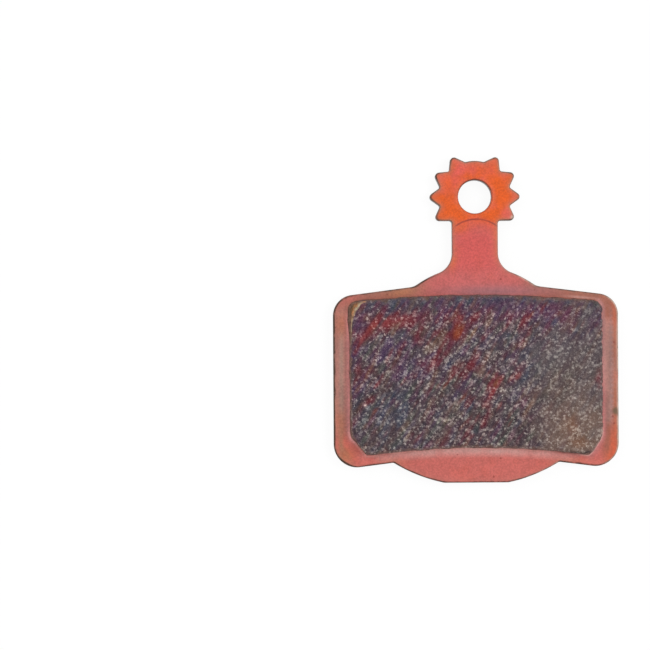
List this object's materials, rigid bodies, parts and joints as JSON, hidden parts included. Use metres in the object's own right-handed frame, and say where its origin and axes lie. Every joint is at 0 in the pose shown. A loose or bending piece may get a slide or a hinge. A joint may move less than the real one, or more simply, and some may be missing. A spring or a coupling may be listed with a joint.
{
  "type": "bicycle disc brake pad",
  "caption": "Flat disc brake pad: copper-plated steel backing plate with a toothed pin tab on a stem, carrying a dark sintered friction block keyed into holes in the plate.",
  "frame": {"origin": "on the plate's back face, on the piston's axis", "axes": "+Y towards the toothed tab, +Z out of the friction face towards the rotor, +X to the right when the friction face is seen with the tab up"},
  "size_m": [0.0364, 0.0416, 0.004],
  "materials": {
    "plated_steel": "copper-plated and heat-tinted on the front, dark grey paint on the back",
    "sintered_compound": "rough ground sintered metal with pale flecks"
  },
  "bodies": {
    "root": {"backing_plate": "plated_steel", "friction_block": "sintered_compound"}
  },
  "joints": []
}
